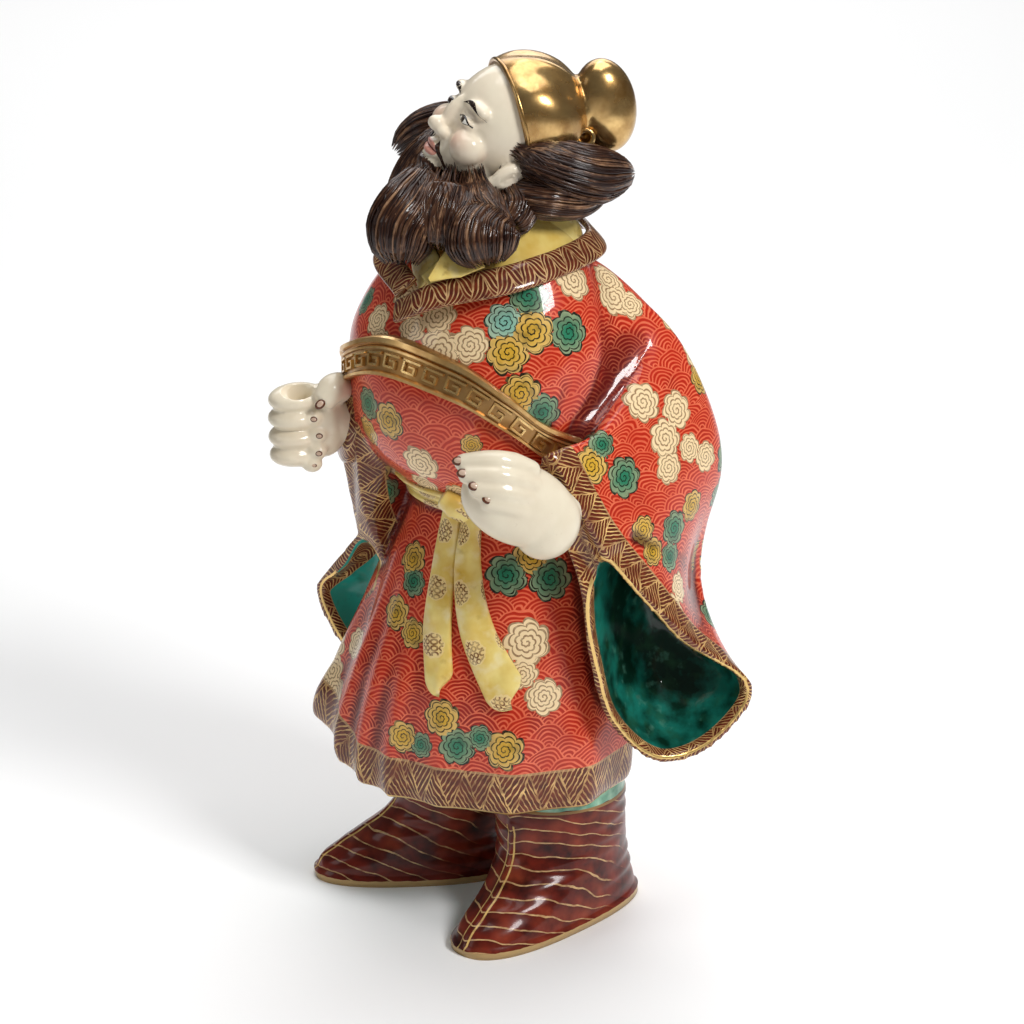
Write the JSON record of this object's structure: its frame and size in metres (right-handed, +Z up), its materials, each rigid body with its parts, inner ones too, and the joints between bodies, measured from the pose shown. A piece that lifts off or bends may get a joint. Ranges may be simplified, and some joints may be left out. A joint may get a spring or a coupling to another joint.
{
  "type": "scholar figure",
  "caption": "Standing glazed porcelain figure of a bearded scholar in a wide-sleeved brocade robe, chest hoop, gold cap and boots, head thrown back.",
  "frame": {"origin": "on the floor under the middle of the figure's bounding box", "axes": "+Z up along the figure's height; the figure faces -Y and its own left hand is towards +X"},
  "size_m": [0.1395, 0.112, 0.29],
  "materials": {
    "porcelain": "glossy glaze with painted enamels and gold"
  },
  "bodies": {
    "root": {"figure": "porcelain"}
  },
  "joints": []
}
